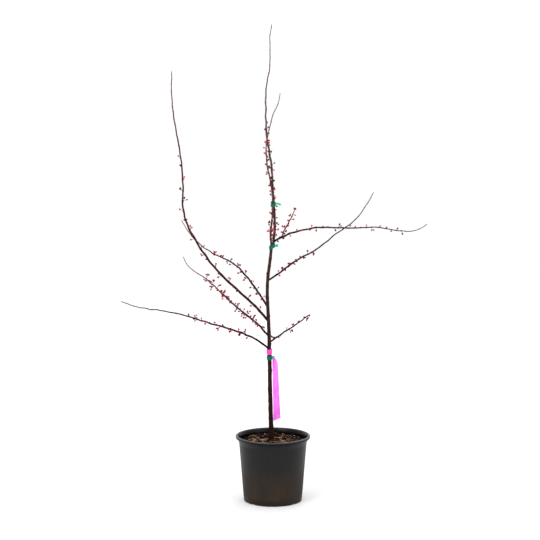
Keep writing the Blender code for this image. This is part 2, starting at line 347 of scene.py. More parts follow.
class Pile:
    """Many small copies of shapes, gathered to be joined into one piece."""

    def __init__(self):
        self.verts = []
        self.faces = []
        self.materials = []
        self.count = 0

    def add(self, shape, matrix, material=0):
        """Adds a copy of the shape; material is the place of its material in build's list."""
        verts, faces = shape
        turn = np.array(matrix.to_3x3())
        self.verts.append(verts @ turn.T + np.array(matrix.translation))
        self.faces.extend([tuple(i + self.count for i in face) for face in faces])
        self.materials.extend([material] * len(faces))
        self.count += len(verts)

    def build(self, name, materials, slot, **options):
        verts = np.concatenate(self.verts)
        return add_piece(name, verts, self.faces, materials, slot, self.materials, **options)


def turned(profile, sides, swell=None):
    """A closed shape turned round Z from (radius, height) points, which start and end on the
    axis. swell(angle, share of the way along the profile) multiplies the radius."""
    angles = np.arange(sides) * math.tau / sides
    verts = [(0, 0, profile[0][1])]
    inner = profile[1:-1]
    for i, (radius, height) in enumerate(inner):
        share = (i + 1) / (len(profile) - 1)
        factor = swell(angles, share) if swell else 1
        ring = radius * factor * np.ones(sides)
        verts.extend(zip(ring * np.cos(angles), ring * np.sin(angles), [height] * sides))
    verts.append((0, 0, profile[-1][1]))
    return np.array(verts, dtype=float), ring_faces(len(inner), sides)


def ring_faces(rings, sides):
    """Faces over rings of vertices, with one vertex before the first ring and one after the last."""
    first = np.arange(rings * sides).reshape(rings, sides) + 1
    faces = []
    for k in range(sides):
        n = (k + 1) % sides
        faces.append((0, int(first[0, n]), int(first[0, k])))
        faces.append((rings * sides + 1, int(first[-1, k]), int(first[-1, n])))
    following = np.roll(first, -1, axis=1)
    quads = np.stack([first[:-1], following[:-1], following[1:], first[1:]], axis=-1)
    return faces + [tuple(q) for q in quads.reshape(-1, 4).tolist()]


def tube(points, radii, sides):
    """A closed tube along the points, for stalks and fibres."""
    limb = Limb(np.array(points, dtype=float), np.array(radii, dtype=float))
    angles = np.arange(sides) * math.tau / sides
    around = (
        limb.sides[:, None] * np.cos(angles)[None, :, None]
        + limb.overs[:, None] * np.sin(angles)[None, :, None]
    )
    rings = limb.points[:, None] + limb.radii[:, None, None] * around
    verts = np.concatenate([limb.points[:1], rings.reshape(-1, 3), limb.points[-1:]])
    return verts, ring_faces(len(limb.points), sides)


def aimed(place, direction, roll=0.0, scale=1.0):
    """The matrix that stands a shape at a place with its +Z along a direction."""
    turn = direction.to_track_quat("Z", "Y").to_matrix() @ Matrix.Rotation(roll, 3, "Z")
    return Matrix.Translation(place) @ (turn * scale).to_4x4()


def waves(rng, count, lobes, lengths):
    """Random waves round and along a limb: (lobes round it, turns per metre, phase)."""
    return [
        (rng.randint(*lobes), math.tau / rng.uniform(*lengths), rng.uniform(0, math.tau))
        for _ in range(count)
    ]


def ripple(made_of, around, along):
    """The sum of the waves, within about -1 to 1."""
    total = sum(np.cos(k * around + turn * along + phase) for k, turn, phase in made_of)
    return total / math.sqrt(len(made_of))


# --- Limbs -----------------------------------------------------------------------------------


class Limb:
    """A centreline with a radius at each point, and a pair of cross directions."""

    def __init__(self, points, radii):
        self.points = points
        self.radii = radii
        steps = np.linalg.norm(np.diff(points, axis=0), axis=1)
        self.along = np.concatenate([[0], np.cumsum(steps)])
        directions = np.gradient(points, axis=0)
        self.directions = directions / np.linalg.norm(directions, axis=1)[:, None]
        side = np.array(Vector(self.directions[0]).orthogonal())
        sides = []
        for direction in self.directions:
            side = side - direction * side.dot(direction)
            side = side / np.linalg.norm(side)
            sides.append(side)
        self.sides = np.array(sides)
        self.overs = np.cross(self.directions, self.sides)

    @property
    def length(self):
        return self.along[-1]

    def index(self, distance):
        return int(np.clip(np.searchsorted(self.along, distance), 0, len(self.along) - 1))

    def outward(self, distance, angle):
        """(point on the axis, direction of growth, outward direction, radius)."""
        i = self.index(distance)
        out = self.sides[i] * math.cos(angle) + self.overs[i] * math.sin(angle)
        return Vector(self.points[i]), Vector(self.directions[i]), Vector(out), float(self.radii[i])


def welded(node):
    """A CAD node's mesh as one connected surface."""
    bm = bmesh.new()
    bm.from_mesh(frame["nodes"][node].data)
    bmesh.ops.remove_doubles(bm, verts=bm.verts, dist=1e-6)
    bm.verts.index_update()
    bm.verts.ensure_lookup_table()
    return bm


def surface_distances(bm, sources):
    """Each vertex's distance from the nearest source, along the edges."""
    best = [math.inf] * len(bm.verts)
    queue = [(0.0, v.index) for v in sources]
    for _, i in queue:
        best[i] = 0.0
    while queue:
        here, i = heapq.heappop(queue)
        if here > best[i]:
            continue
        for edge in bm.verts[i].link_edges:
            other = edge.other_vert(bm.verts[i])
            there = here + (other.co - bm.verts[i].co).length
            if there < best[other.index]:
                best[other.index] = there
                heapq.heappush(queue, (there, other.index))
    return best


def rings_of(node, foot):
    """(centres, radii) of the square rings of a CAD limb, from the end near foot to its tip."""
    bm = welded(node)
    near = min(bm.verts, key=lambda v: (v.co - foot).length)
    reach = surface_distances(bm, [near])
    tip = max(bm.verts, key=lambda v: reach[v.index])
    distance = surface_distances(bm, [v for v in bm.verts if (v.co - tip.co).length < RING_REACH])
    order = sorted(bm.verts, key=lambda v: distance[v.index])
    rings = [[order[0]]]
    for before, after in zip(order, order[1:]):
        if distance[after.index] - distance[before.index] > RING_GAP:
            rings.append([])
        rings[-1].append(after)
    centres, radii = [], []
    for ring in reversed(rings):
        skew = distance[ring[-1].index] - distance[ring[0].index]
        if len(ring) == len(rings[0]) and skew < RING_SKEW:
            places = np.array([tuple(v.co) for v in ring])
            centres.append(places.mean(axis=0))
            radii.append(np.linalg.norm(places - centres[-1], axis=1).mean())
    bm.free()
    return centres, radii


def smooth_line(centres, radii):
    """A limb whose line passes smoothly through the centres, read at equal small steps."""
    knots = np.array(centres)
    gaps = np.linalg.norm(np.diff(knots, axis=0), axis=1)
    at = np.concatenate([[0], np.cumsum(gaps)])
    slopes = np.diff(knots, axis=0) / gaps[:, None]
    inner = (gaps[:-1, None] * slopes[1:] + gaps[1:, None] * slopes[:-1]) / (gaps[:-1] + gaps[1:])[:, None]
    tangents = np.concatenate([slopes[:1], inner, slopes[-1:]])
    wanted = np.linspace(0, at[-1], round(at[-1] / LINE_STEP) + 1)
    i = np.clip(np.searchsorted(at, wanted, side="right") - 1, 0, len(gaps) - 1)
    u = ((wanted - at[i]) / gaps[i])[:, None]
    start, end = knots[i], knots[i + 1]
    lean_in, lean_out = tangents[i] * gaps[i, None], tangents[i + 1] * gaps[i, None]
    points = (
        (2 * u**3 - 3 * u**2 + 1) * start
        + (u**3 - 2 * u**2 + u) * lean_in
        + (3 * u**2 - 2 * u**3) * end
        + (u**3 - u**2) * lean_out
    )
    return Limb(points, np.interp(wanted, at, radii))


def read_limb(nodes, parent):
    """The limb of one or more CAD nodes end to end, begun on its parent's axis."""
    centres, radii = [], []
    for node in nodes:
        if centres:
            foot = Vector(centres[-1])
        elif parent is None:
            low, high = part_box(node)
            foot = Vector(((low.x + high.x) / 2, (low.y + high.y) / 2, low.z))
        else:
            foot = nearest_end(node, parent)
        more_centres, more_radii = rings_of(node, foot)
        if centres:  # the two flat faces at a joint are one place
            more_centres, more_radii = more_centres[1:], more_radii[1:]
        centres += more_centres
        radii += more_radii
    back = centres[0] - centres[1]
    back = back / np.linalg.norm(back)
    if parent is None:
        start = centres[0] + back * FOOT_DEPTH
    else:
        away = parent.points - centres[0]
        reach = np.clip(away @ back, 0, None)
        miss = np.linalg.norm(away - reach[:, None] * back, axis=1)
        start = parent.points[int(np.argmin(miss + reach * 0.3))]
    return smooth_line([start] + centres, [radii[0]] + radii)


def nearest_end(node, parent):
    """The point of the parent's line that the node comes nearest to."""
    places = np.array([tuple(v.co) for v in frame["nodes"][node].data.vertices])
    gaps = np.linalg.norm(places[:, None] - parent.points[None, ::4], axis=2)
    return Vector(places[int(np.argmin(gaps.min(axis=1)))])


class Growth(NamedTuple):
    """How one limb looks. Shares are of its length; spacing is in metres."""

    nodes: tuple
    parent: str
    bark: str
    flowers_from: float
    flowers_to: float
    spacing: float
    most: int  # flower buds in one cluster
    stalk: float
    palette: str


GROWTHS = {
    "leader": Growth(("leader",), "trunk", "grey", 0.03, 0.57, 0.013, 2, 0.0075, "coral"),
    "side_leader": Growth(("side_leader",), "trunk", "grey", 0.05, 0.70, 0.014, 2, 0.0070, "coral"),
    "bough_right_arching": Growth(
        ("bough_right_arching",), "leader", "purple", 0.05, 0.85, 0.022, 2, 0.0065, "coral"
    ),
    "shoot_on_arching_bough": Growth(
        ("shoot_on_arching_bough",), "bough_right_arching", "purple", 0.12, 1.0, 0.010, 3, 0.0065, "crimson"
    ),
    "bough_right_rising": Growth(
        ("bough_right_rising",), "trunk", "slate", 0.08, 0.42, 0.016, 3, 0.0075, "crimson"
    ),
    "bough_right_short": Growth(
        ("bough_right_short",), "trunk", "purple", 0.12, 1.0, 0.021, 3, 0.0075, "crimson"
    ),
    "bough_left_low": Growth(
        ("bough_left_low",), "trunk", "purple", 0.16, 0.56, 0.018, 3, 0.0110, "crimson"
    ),
    "bough_left_budded": Growth(
        ("bough_left_budded",), "trunk", "maroon", 0.06, 0.74, 0.0115, 4, 0.0165, "crimson"
    ),
    "bough_left_tall": Growth(
        ("bough_left_tall_lower", "bough_left_tall_upper"), "trunk", "russet", 0.05, 0.70, 0.034, 2,
        0.0135, "crimson"
    ),
    "bough_left_high": Growth(
        ("bough_left_high",), "trunk", "slate", 0.06, 0.62, 0.017, 3, 0.0125, "crimson"
    ),
}


def bark_looks():
    """The barks: dark skin, lighter skin, and papery film of each."""
    return {
        "trunk": bark_material("bark_trunk", srgb(15, 2, 3), srgb(46, 13, 12), srgb(74, 48, 46), 0.65),
        "grey": bark_material("bark_grey", srgb(24, 8, 11), srgb(96, 62, 66), srgb(150, 126, 130), 0.65),
        "purple": bark_material("bark_purple", srgb(22, 2, 8), srgb(60, 18, 26), srgb(92, 54, 64), 0.6),
        "russet": bark_material("bark_russet", srgb(30, 2, 4), srgb(72, 19, 17), srgb(98, 44, 40), 0.55),
        "maroon": bark_material("bark_maroon", srgb(26, 0, 6), srgb(62, 12, 20), srgb(130, 72, 84), 0.6),
        "slate": bark_material("bark_slate", srgb(20, 8, 8), srgb(52, 32, 30), srgb(88, 74, 70), 0.65),
    }


def kinked(limb, nodes, rng):
    """The limb with the small steps aside that it takes at each of its nodes, and a gentle sway."""
    aside = np.zeros_like(limb.points)
    at = [0.0] + [node.distance for node in nodes] + [limb.length]
    steps = [-limb.outward(n.distance, n.angle)[2] * rng.uniform(0.5, 1.2) for n in nodes]
    ways = [Vector()] + steps + [Vector()]
    for axis in range(3):
        aside[:, axis] = np.interp(limb.along, at, [way[axis] * KINK for way in ways])
    for direction in (limb.sides, limb.overs):
        sway = ripple(waves(rng, 3, (0, 0), SWAY_LENGTHS), 0.0, limb.along)
        aside += direction * (SWAY * sway)[:, None]
    window = max(3, round(BEND_SOFTENING / LINE_STEP))
    padded = np.pad(aside, ((window, window), (0, 0)), mode="edge")
    soft = np.stack([np.convolve(padded[:, k], np.ones(window) / window, "same") for k in range(3)], axis=1)
    soft = soft[window:-window]
    near_ends = np.minimum(limb.along / 0.012, (limb.length - limb.along) / 0.015)
    return Limb(limb.points + soft * np.clip(near_ends, 0, 1)[:, None], limb.radii)


class Node(NamedTuple):
    """A place where a bud or a cluster of them sits."""

    distance: float
    angle: float
    flowers: int  # 0 for a leaf bud


# Clusters that stand out round the fork: (distance up its limb, bearing in degrees, flowers)
FORK_CLUSTERS = {
    "leader": ((0.036, -15, 1), (0.050, -75, 3), (0.064, -10, 2), (0.087, -5, 1)),
    "side_leader": ((0.049, -95, 3), (0.071, 175, 1)),
    "bough_right_arching": ((0.014, -60, 2), (0.026, 80, 2)),
}


def nodes_along(limb, growth, rng):
    """The bud nodes of a limb in their spiral: clusters of flowers, then small leaf buds."""
    nodes = []
    distance = max(growth.flowers_from * limb.length, limb.radii[0] * 3)
    angle = rng.uniform(0, math.tau)
    while distance < limb.length - 0.004:
        flowering = distance < growth.flowers_to * limb.length
        flowers = rng.randint(1, growth.most) if flowering else 0
        nodes.append(Node(distance, angle + rng.uniform(-0.5, 0.5), flowers))
        angle += GOLDEN_TURN
        spacing = growth.spacing if flowering else LEAF_BUD_SPACING
        distance += spacing * rng.uniform(0.7, 1.3)
    if growth.flowers_to >= 1:
        nodes.append(Node(limb.length - 0.001, angle, growth.most + 1))
    return nodes


def bark_mesh(name, limb, sides, material, slot, replaces, nodes, rng, lenticels, knots=()):
    """The limb's skin: ridges along it, swellings under its buds, raised pores and old knots."""
    along = limb.along[:, None]
    angles = (np.arange(sides) * math.tau / sides)[None]
    coarse = waves(rng, 9, (1, 4), (0.03, 0.16))
    fine = waves(rng, 14, (5, sides // 3), (0.006, 0.05))
    relief = limb.radii[:, None] * (1 + 0.030 * ripple(coarse, angles, along))
    relief = relief + np.minimum(0.00012, limb.radii[:, None] * 0.02) * ripple(fine, angles, along)
    pores = np.zeros_like(relief)
    scars = np.zeros_like(relief)

    def facing(angle):
        return (angles - angle + math.pi) % math.tau - math.pi

    for node in nodes:
        near = np.exp(-(((along - node.distance) / (limb.radii[:, None] * 0.9 + 0.0006)) ** 2))
        side = np.exp(-((facing(node.angle) / 0.9) ** 2))
        relief = relief + np.minimum(limb.radii[:, None], 0.003) * near * (0.08 + 0.26 * side)
        scars = np.maximum(scars, 0.45 * near * side)
    for _ in range(int(lenticels * limb.length)):
        at, angle = rng.uniform(0, limb.length), rng.uniform(0, math.tau)
        i = limb.index(at)
        wide, tall = rng.uniform(0.0006, 0.0016), rng.uniform(0.00025, 0.0005)
        rows = slice(max(0, i - 2), i + 3)
        around = facing(angle) * limb.radii[i] / wide
        spot = np.exp(-(around**2) - ((along[rows] - at) / tall) ** 2)
        relief[rows] += LENTICEL_HEIGHT * spot
        pores[rows] = np.maximum(pores[rows], spot * 0.8)
    for at, degrees in knots:
        angle = knot_angle(limb, at, degrees)
        reach = np.hypot(facing(angle) * limb.radii[:, None], along - at) / KNOT_SIZE
        relief = relief + KNOT_HEIGHT * np.exp(-(reach**2)) - 0.0006 * np.exp(-((reach * 2.6) ** 2))
        scars = np.maximum(scars, np.exp(-((reach * 1.3) ** 2)))
    left = (limb.length - limb.along) / (limb.radii[-1] * TIP_ROUNDING)
    relief = relief * np.sqrt(1 - (1 - np.clip(left, 0.02, 1)) ** 2)[:, None]

    ways = limb.sides[:, None] * np.cos(angles)[..., None] + limb.overs[:, None] * np.sin(angles)[..., None]
    rings = limb.points[:, None] + relief[..., None] * ways
    verts = np.concatenate([limb.points[:1], rings.reshape(-1, 3), limb.points[-1:]])
    faces = ring_faces(len(limb.points), sides)
    piece = add_piece(name, verts, faces, [material], slot, replaces=replaces)
    turned_place = np.stack(
        [
            limb.radii[:, None] * np.cos(angles),
            limb.radii[:, None] * np.sin(angles),
            np.broadcast_to(along * 0.16, relief.shape),
        ],
        axis=-1,
    ).reshape(-1, 3)
    age = np.broadcast_to((limb.along / limb.length)[:, None] ** 1.5 * 0.75, relief.shape)
    marks = np.stack([pores, scars, age, np.ones_like(relief)], axis=-1).reshape(-1, 4)
    store(piece, "bark_place", "FLOAT_VECTOR", "vector", capped(turned_place))
    store(piece, "bark_marks", "FLOAT_COLOR", "color", capped(marks))


def capped(values):
    """The values of the rings' points, with one more for each end's middle."""
    return np.concatenate([values[:1], values, values[-1:]])


def store(piece, name, kind, field, values):
    attribute = piece.data.attributes.new(name, kind, "POINT")
    attribute.data.foreach_set(field, values.astype(np.float32).ravel())


def knot_angle(limb, at, degrees):
    """The angle in the limb's own frame that faces a compass direction in the row frame."""
    i = limb.index(at)
    way = np.array([math.cos(math.radians(degrees)), math.sin(math.radians(degrees)), 0])
    return math.atan2(way @ limb.overs[i], way @ limb.sides[i])


# --- Buds ------------------------------------------------------------------------------------

PETALS = {
    "maroon": srgb(84, 0, 16),
    "crimson": srgb(150, 0, 32),
    "magenta": srgb(170, 4, 58),
    "rose": srgb(188, 32, 84),
    "coral": srgb(190, 50, 44),
    "blush": srgb(210, 92, 88),
}
PALETTES = {
    "crimson": ("maroon", "crimson", "crimson", "magenta", "magenta", "rose"),
    "coral": ("maroon", "maroon", "crimson", "coral", "coral", "blush"),
}


def girth(share):
    """Radius of a flower bud's egg of petals at a share of its height."""
    return FLOWER_RADIUS * math.sin(math.pi * share**0.80) ** 0.62


def petal_height(share):
    return FLOWER_LENGTH * (0.26 + 0.74 * share)


def petal_ball():
    """Five closed petals wrapped round each other, standing on +Z."""
    count = 11
    profile = [(0, petal_height(0))]
    profile += [(girth(i / count), petal_height(i / count)) for i in range(1, count)]
    profile.append((0, petal_height(1.0)))

    def wrap(angles, share):
        fold = (angles * 5 / math.tau + share * 1.1) % 1
        return 1 - 0.055 * np.exp(-(((fold - 0.5) / 0.12) ** 2)) + 0.02 * fold

    verts, faces = turned(profile, 20, wrap)
    return verts, faces


def calyx():
    """The cup under the petals, with five pointed sepals that lie on them."""
    foot = petal_height(0)
    cup = [(0, 0), (0.0005, 0), (0.0009, foot * 0.3)]
    cup += [(0.0014, foot * 0.7), (0.0019, foot * 1.15), (0, foot * 1.2)]
    verts, faces = turned(cup, 12)
    all_verts, all_faces = [verts], list(faces)
    for k in range(5):
        sepal, sepal_faces = sepal_leaf(math.tau * k / 5)
        start = sum(len(part) for part in all_verts)
        all_faces += [tuple(i + start for i in face) for face in sepal_faces]
        all_verts.append(sepal)
    return np.concatenate(all_verts), all_faces


def sepal_leaf(middle):
    """One thin pointed sepal that follows the petals up to about half their height."""
    rows, columns = 6, 3
    verts = []
    for skin in (0.00030, -0.00010):
        for i in range(rows):
            t = i / (rows - 1)
            share = 0.06 + 0.34 * t
            radius = girth(share) * (1.02 + 0.05 * t) + skin
            half = 0.52 * (1 - t**1.7) + 0.03
            for j in range(columns):
                a = middle + half * (j / (columns - 1) * 2 - 1)
                verts.append((radius * math.cos(a), radius * math.sin(a), petal_height(share)))
    return np.array(verts), sheet_faces(rows, columns)


def sheet_faces(rows, columns):
    """Faces of a thin closed sheet: an outer grid of points, then its inner grid."""
    size = rows * columns
    faces = []
    for i in range(rows - 1):
        for j in range(columns - 1):
            a = i * columns + j
            faces.append((a, a + 1, a + columns + 1, a + columns))
            faces.append((a + size, a + size + columns, a + size + columns + 1, a + size + 1))
    rim = list(range(columns)) + [i * columns + columns - 1 for i in range(1, rows)]
    rim += [(rows - 1) * columns + j for j in range(columns - 2, -1, -1)]
    rim += [i * columns for i in range(rows - 2, 0, -1)]
    for a, b in zip(rim, rim[1:] + rim[:1]):
        faces.append((b, a, a + size, b + size))
    return faces


def leaf_bud():
    """A small pointed bud in overlapping scales, standing on +Z."""
    profile = [(0, -0.0004), (0.0007, -0.0002), (0.00095, 0.0005), (0.0009, 0.0011)]
    profile += [(0.0006, 0.0018), (0.00025, 0.0024), (0, 0.0027)]

    def scales(angles, share):
        return 1 + 0.10 * np.cos(2 * angles + share * 9)

    verts, faces = turned(profile, 10, scales)
    return verts, faces


def spur(length, radius):
    """A short knobbly spur, ringed by the scars of old bud scales."""
    rings = 9
    profile = [(0, -radius)]
    for i in range(rings):
        t = i / (rings - 1)
        knob = radius * (1.15 - 0.35 * t + 0.30 * t**4 + 0.10 * (i % 2))
        profile.append((knob, length * t))
    profile.append((radius * 0.6, length + radius * 0.35))
    profile.append((0, length + radius * 0.45))
    verts, faces = turned(profile, 10)
    return verts, faces


def grow_buds(limbs, nodes_by_limb, rng):
    """Spurs, stalks, calyxes, petals and leaf buds over all the limbs, each kind one piece."""
    kinds = {kind: Pile() for kind in ("spurs", "stalks", "calyxes", "petals", "leaf_buds")}
    shapes = petal_ball(), calyx(), leaf_bud()
    petal_names = list(PETALS)
    for name, nodes in nodes_by_limb.items():
        limb, growth = limbs[name], GROWTHS[name]
        for node in nodes:
            point, direction, out, radius = limb.outward(node.distance, node.angle)
            surface = point + out * radius
            if node.flowers == 0:
                grow_leaf_bud(kinds, shapes[2], surface, direction, out, radius, rng)
            else:
                tints = [petal_names.index(n) for n in PALETTES[growth.palette]]
                grow_cluster(kinds, shapes, growth, node, surface, direction, out, radius, tints, rng)
    return kinds


def grow_leaf_bud(kinds, shape, surface, direction, out, radius, rng):
    """A leaf bud pressed close along the shoot."""
    way = (direction * 1.5 + out * rng.uniform(0.5, 1.0)).normalized()
    scale = rng.uniform(0.75, 1.15) * min(1, 0.55 + radius / 0.004)
    place = surface - out * radius * 0.12
    kinds["leaf_buds"].add(shape, aimed(place, way, rng.uniform(0, math.tau), scale))


def grow_cluster(kinds, shapes, growth, node, surface, direction, out, radius, tints, rng):
    """A spur with one to four flower buds that fan out from its end on thin stalks."""
    at_tip = node.flowers > growth.most
    way = direction if at_tip else (out + direction * rng.uniform(0.2, 0.8) + UP * 0.15).normalized()
    length = rng.uniform(0.0012, 0.0036)
    knob = rng.uniform(0.0010, 0.0014) * min(1, 0.6 + radius / 0.006)
    start = surface - out * radius * (1 if at_tip else 0.15)
    kinds["spurs"].add(spur(length, knob), aimed(start, way))
    end = start + way * length
    tint = rng.choice(tints)
    for k in range(node.flowers):
        spin = math.tau * (k + rng.random()) / node.flowers
        across = way.orthogonal().normalized()
        across.rotate(Matrix.Rotation(spin, 3, way))
        lean = (way + across * rng.uniform(0.3, 0.95)).normalized()
        reach = growth.stalk * rng.uniform(0.15, 0.70)
        bend = (lean * 0.8 + UP * rng.uniform(-0.25, 0.35)).normalized()
        line = [end - lean * 0.0004]
        for step in range(1, 5):
            line.append(line[-1] + lean.lerp(bend, step / 4).normalized() * reach / 4)
        stalk = tube([tuple(p) for p in line], [STALK_RADIUS] * 4 + [STALK_RADIUS * 1.5], 6)
        kinds["stalks"].add(stalk, Matrix.Identity(4))
        stand = aimed(line[-1], bend, rng.uniform(0, math.tau), rng.uniform(0.80, 1.12))
        shade = tint if rng.random() < 0.7 else rng.choice(tints)
        kinds["petals"].add(shapes[0], stand, shade)
        kinds["calyxes"].add(shapes[1], stand, rng.randint(0, 1))


# Small dormant buds and cut spurs on the trunk: (height above its foot, bearing in degrees)
TRUNK_BUDS = ((0.055, 20), (0.13, 230), (0.205, 150), (0.271, -5), (0.340, 250), (0.372, 10), (0.41, 200),
              (0.476, -30), (0.545, 185), (0.588, 95), (0.633, 170), (0.662, 300), (0.69, 35))


def make_tree():
    """The bark of the trunk and every limb, and the buds on them."""
    rng = random.Random(SEED)
    barks = bark_looks()
    limbs = {"trunk": read_limb(("trunk",), None)}
    bark_mesh(
        "trunk_bark", limbs["trunk"], TRUNK_SIDES, barks["trunk"], "trunk_bark", ("trunk",),
        [Node(at, knot_angle(limbs["trunk"], at, degrees), 0) for at, degrees in TRUNK_BUDS], rng,
        420, KNOTS,
    )
    nodes_by_limb = {}
    for name, growth in GROWTHS.items():
        straight = read_limb(growth.nodes, limbs[growth.parent])
        nodes = nodes_along(straight, growth, rng)
        for at, degrees, flowers in FORK_CLUSTERS.get(name, ()):
            nodes.append(Node(at, knot_angle(straight, at, degrees), flowers))
        nodes_by_limb[name] = sorted(nodes)
        limb = kinked(straight, nodes_by_limb[name], rng)
        limbs[name] = limb
        bark_mesh(
            name + "_bark", limb, LIMB_SIDES, barks[growth.bark], "shoot_bark", growth.nodes,
            nodes_by_limb[name], rng, 260,
        )
    kinds = grow_buds(limbs, nodes_by_limb, rng)
    for at, degrees in TRUNK_BUDS:
        angle = knot_angle(limbs["trunk"], at, degrees)
        point, direction, out, radius = limbs["trunk"].outward(at, angle)
        way = (out * 1.2 + direction * 0.7).normalized()
        knob = spur(rng.uniform(0.0015, 0.004), TRUNK_SPUR_RADIUS)
        kinds["spurs"].add(knob, aimed(point + out * radius * 0.9, way))
    kinds["spurs"].build("spurs", [barks["grey"]], "shoot_bark")
    stalk = plain_material("bud_stalk", srgb(104, 46, 44), 0.5)
    kinds["stalks"].build("bud_stalks", [stalk], "buds")
    sepals = [
        plain_material("sepal_red", srgb(112, 4, 26), 0.55),
        plain_material("sepal_brown", srgb(84, 16, 22), 0.6),
    ]
    kinds["calyxes"].build("bud_calyxes", sepals, "buds")
    petals = [plain_material("petal_" + name, colour, 0.42) for name, colour in PETALS.items()]
    kinds["petals"].build("bud_petals", petals, "buds")
    scale = plain_material("leaf_bud_scale", srgb(84, 48, 44), 0.6)
    kinds["leaf_buds"].build("leaf_buds", [scale], "shoot_bark")


# --- Pot and mix -----------------------------------------------------------------------------


def arc(centre, radius, start, end, count=6):
    """Points on a circle from one angle to another, in degrees."""
    return [
        (centre[0] + radius * math.cos(math.radians(a)), centre[1] + radius * math.sin(math.radians(a)))
        for a in np.linspace(start, end, count)
    ]


def make_pot():
    """The moulded pot: rounded foot, faint ring above it, collar, rolled lip, floor and drains."""
    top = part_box("pot")[1].z
    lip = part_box("pot")[1].x
    under_lip = top - LIP_HEIGHT
    under_collar = under_lip - COLLAR_HEIGHT
    slope = (POT_TOP_RADIUS - POT_BASE_RADIUS) / under_lip

    def wall(height):
        return POT_BASE_RADIUS + slope * height

    outside = [(0, 0), (POT_BASE_RADIUS - 0.012, 0), (POT_BASE_RADIUS - 0.0045, 0)]
    outside += arc((POT_BASE_RADIUS - 0.0038, 0.004), 0.004, -85, 0)
    outside += [(wall(0.014), 0.014), (wall(0.0155) - 0.0005, 0.0155), (wall(0.017), 0.017)]
    outside += [(wall(h), h) for h in np.linspace(0.022, under_collar, 24)]
    outside += [(wall(under_collar) + COLLAR_STEP * 0.6, under_collar + 0.0016)]
    outside += [(POT_TOP_RADIUS + COLLAR_STEP, under_lip - 0.0012)]
    rolled = [(POT_TOP_RADIUS + COLLAR_STEP + 0.0012, under_lip + 0.0002)]
    rolled += arc((lip - 0.0045, under_lip + 0.0045), 0.0045, -80, 0, 7)
    rolled += arc((lip - 0.0042, top - 0.0042), 0.0042, 5, 95, 9)
    rolled += arc((lip - LIP_WIDTH + 0.0028, top - 0.0028), 0.0028, 95, 175, 7)
    throat = POT_TOP_RADIUS - POT_WALL
    rolled += [(throat + 0.0012, under_lip + 0.003), (throat, under_lip - 0.001)]
    rolled += [(wall(h) - POT_WALL, h) for h in np.linspace(under_lip - 0.006, POT_FLOOR + 0.003, 14)]
    rolled += [(wall(0) - POT_WALL - 0.003, POT_FLOOR), (0, POT_FLOOR)]
    profile = outside + rolled
    verts, faces = turned(profile, POT_SIDES)
    lip_from = 2 * POT_SIDES + (len(outside) - 2) * POT_SIDES
    looks = [0 if i < lip_from else 1 for i in range(len(faces))]
    materials = [pot_material(), lip_material()]
    pot = add_piece("pot_shell", verts, faces, materials, "pot_plastic", looks, replaces=("pot",), sharp=50)
    cut_drains(pot)


def cut_drains(pot):
    """Low arches cut through the foot of the wall."""
    arch = ((DRAIN_WIDTH / 2) ** 2 + DRAIN_HEIGHT**2) / (2 * DRAIN_HEIGHT)
    for k in range(DRAINS):
        bearing = math.tau * (k + 0.5) / DRAINS
        way = Vector((math.cos(bearing), math.sin(bearing), 0))
        middle = way * POT_BASE_RADIUS + UP * (DRAIN_HEIGHT - arch)
        ends = [tuple(middle - way * DRAIN_REACH), tuple(middle + way * DRAIN_REACH)]
        verts, faces = tube(ends, [arch, arch], DRAIN_SIDES)
        mesh = bpy.data.meshes.new("drain")
        mesh.from_pydata([tuple(v) for v in verts], [], faces)
        cutter = bpy.data.objects.new("drain", mesh)
        bpy.context.scene.collection.objects.link(cutter)
        modifier = pot.modifiers.new("drain", "BOOLEAN")
        modifier.operation = "DIFFERENCE"
        modifier.object = cutter
        apply_modifiers(pot)
        bpy.data.objects.remove(cutter)


def apply_modifiers(piece):
    """Keeps the piece's evaluated mesh, and drops its modifiers."""
    graph = bpy.context.evaluated_depsgraph_get()
    mesh = bpy.data.meshes.new_from_object(piece.evaluated_get(graph))
    piece.modifiers.clear()
    piece.data = mesh


def mound(x, y):
    """Height of the loose surface over the CAD level: uneven, and drawn up a little to the trunk."""
    far = math.hypot(x + 0.006, y)
    bumps = 0.0022 * math.sin(61 * x + 1.3) * math.cos(53 * y - 0.4) + 0.0013 * math.sin(143 * x - 97 * y)
    return bumps + 0.0040 * math.exp(-((far / 0.03) ** 2)) + 0.0005


def make_mix(rng):
    """The fines: one solid with an uneven top that the chips lie in."""
    low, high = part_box("potting_mix")
    rings, sides = 46, 144
    level = high.z
    verts = [(0, 0, level + mound(0, 0))]
    for i in range(1, rings + 1):
        radius = high.x * i / rings
        for k in range(sides):
            a = math.tau * k / sides
            x, y = radius * math.cos(a), radius * math.sin(a)
            grain = rng.uniform(-0.0008, 0.0010)
            verts.append((x, y, level + mound(x, y) + grain))
    base = high.x - (POT_TOP_RADIUS - POT_BASE_RADIUS)
    for k in range(sides):
        a = math.tau * k / sides
        verts.append((base * math.cos(a), base * math.sin(a), low.z))
    verts.append((0, 0, low.z))
    faces = ring_faces(rings + 1, sides)
    add_piece("mix_fines", verts, faces, [mix_material()], "bark_mix", replaces=("potting_mix",))
    return level, high.x


def chip_shape(rng):
    """A flake of bark: an uneven little slab with broken edges."""
    sides = rng.randint(5, 8)
    outline = []
    for k in range(sides):
        a = math.tau * (k + rng.uniform(-0.3, 0.3)) / sides
        outline.append((rng.uniform(0.75, 1.1) * math.cos(a), rng.uniform(0.75, 1.1) * math.sin(a)))
    verts = [(0, 0, -0.35)]
    for level, inset in ((-0.3, 0.8), (-0.1, 1.0), (0.2, 0.95), (0.36, 0.72)):
        verts.extend((x * inset, y * inset, level + rng.uniform(-0.1, 0.1)) for x, y in outline)
    verts.append((0, 0, 0.4))
    faces = ring_faces(4, sides)
    return np.array(verts, dtype=float), faces


